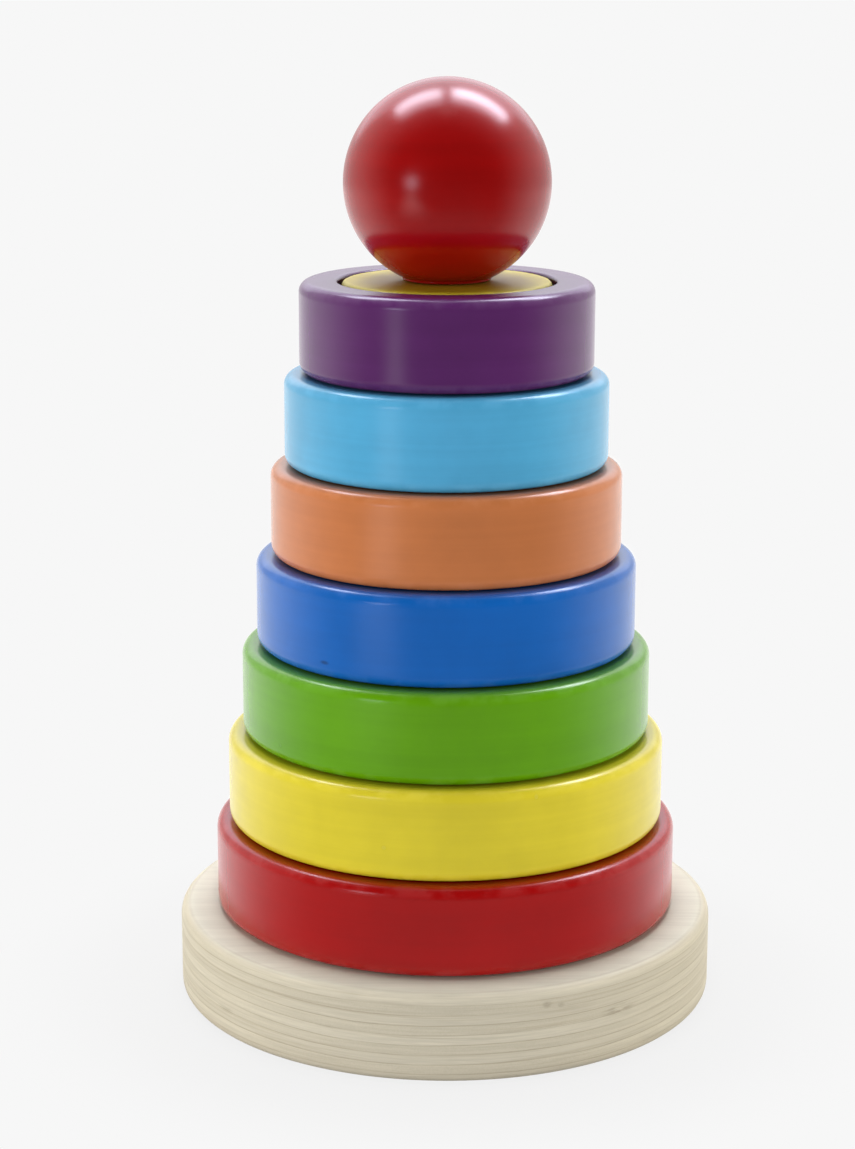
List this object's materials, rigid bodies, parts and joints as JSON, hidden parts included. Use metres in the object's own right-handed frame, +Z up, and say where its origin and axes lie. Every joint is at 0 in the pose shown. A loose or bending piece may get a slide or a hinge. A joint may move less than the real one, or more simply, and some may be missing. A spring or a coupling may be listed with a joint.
{
  "type": "stacking ring tower",
  "caption": "Wooden stacking toy: painted rings of falling diameter, each with a loose core disc, dropped over a fixed post on a round plywood base and topped by a ball.",
  "frame": {"origin": "centre of the round face that the base stands on", "axes": "+Z up along the post; the tower is round, so +X and +Y are free, with the pictured side towards -Y"},
  "size_m": [0.125, 0.125, 0.2123],
  "materials": {
    "birch_ply": "sanded plywood under thin clear lacquer",
    "bare_dowel": "sanded, bare",
    "red_lacquer": "gloss paint over turned wood",
    "yellow_lacquer": "gloss paint over turned wood",
    "green_lacquer": "gloss paint over turned wood",
    "blue_lacquer": "gloss paint over turned wood",
    "orange_lacquer": "gloss paint over turned wood",
    "sky_blue_lacquer": "gloss paint over turned wood",
    "purple_lacquer": "gloss paint over turned wood"
  },
  "bodies": {
    "base": {"base_plate": "birch_ply", "centre_post": "bare_dowel"},
    "red_ring": {"red_ring": "red_lacquer"},
    "green_core": {"green_core": "green_lacquer"},
    "yellow_ring": {"yellow_ring": "yellow_lacquer"},
    "purple_core": {"purple_core": "purple_lacquer"},
    "green_ring": {"green_ring": "green_lacquer"},
    "red_core": {"red_core": "red_lacquer"},
    "blue_ring": {"blue_ring": "blue_lacquer"},
    "sky_blue_core": {"sky_blue_core": "sky_blue_lacquer"},
    "orange_ring": {"orange_ring": "orange_lacquer"},
    "blue_core": {"blue_core": "blue_lacquer"},
    "sky_blue_ring": {"sky_blue_ring": "sky_blue_lacquer"},
    "orange_core": {"orange_core": "orange_lacquer"},
    "purple_ring": {"purple_ring": "purple_lacquer"},
    "yellow_core": {"yellow_core": "yellow_lacquer"},
    "ball": {"ball_top": "red_lacquer"}
  },
  "joints": [
    {"name": "red_ring_lift", "type": "slide", "parent": "base", "child": "red_ring", "axis": [0, 0, 1], "range_m": [0, 0.1705]},
    {"name": "green_core_lift", "type": "slide", "parent": "red_ring", "child": "green_core", "axis": [0, 0, 1], "range_m": [0, 0.1705]},
    {"name": "yellow_ring_lift", "type": "slide", "parent": "green_core", "child": "yellow_ring", "axis": [0, 0, 1], "range_m": [0, 0.1495]},
    {"name": "purple_core_lift", "type": "slide", "parent": "yellow_ring", "child": "purple_core", "axis": [0, 0, 1], "range_m": [0, 0.1495]},
    {"name": "green_ring_lift", "type": "slide", "parent": "purple_core", "child": "green_ring", "axis": [0, 0, 1], "range_m": [0, 0.1285]},
    {"name": "red_core_lift", "type": "slide", "parent": "green_ring", "child": "red_core", "axis": [0, 0, 1], "range_m": [0, 0.1285]},
    {"name": "blue_ring_lift", "type": "slide", "parent": "red_core", "child": "blue_ring", "axis": [0, 0, 1], "range_m": [0, 0.1076]},
    {"name": "sky_blue_core_lift", "type": "slide", "parent": "blue_ring", "child": "sky_blue_core", "axis": [0, 0, 1], "range_m": [0, 0.1076]},
    {"name": "orange_ring_lift", "type": "slide", "parent": "sky_blue_core", "child": "orange_ring", "axis": [0, 0, 1], "range_m": [0, 0.0867]},
    {"name": "blue_core_lift", "type": "slide", "parent": "orange_ring", "child": "blue_core", "axis": [0, 0, 1], "range_m": [0, 0.0867]},
    {"name": "sky_blue_ring_lift", "type": "slide", "parent": "blue_core", "child": "sky_blue_ring", "axis": [0, 0, 1], "range_m": [0, 0.0657]},
    {"name": "orange_core_lift", "type": "slide", "parent": "sky_blue_ring", "child": "orange_core", "axis": [0, 0, 1], "range_m": [0, 0.0657]},
    {"name": "purple_ring_lift", "type": "slide", "parent": "orange_core", "child": "purple_ring", "axis": [0, 0, 1], "range_m": [0, 0.0448]},
    {"name": "yellow_core_lift", "type": "slide", "parent": "purple_ring", "child": "yellow_core", "axis": [0, 0, 1], "range_m": [0, 0.0448]},
    {"name": "ball_lift", "type": "slide", "parent": "yellow_core", "child": "ball", "axis": [0, 0, 1], "range_m": [0, 0.0238]}
  ]
}
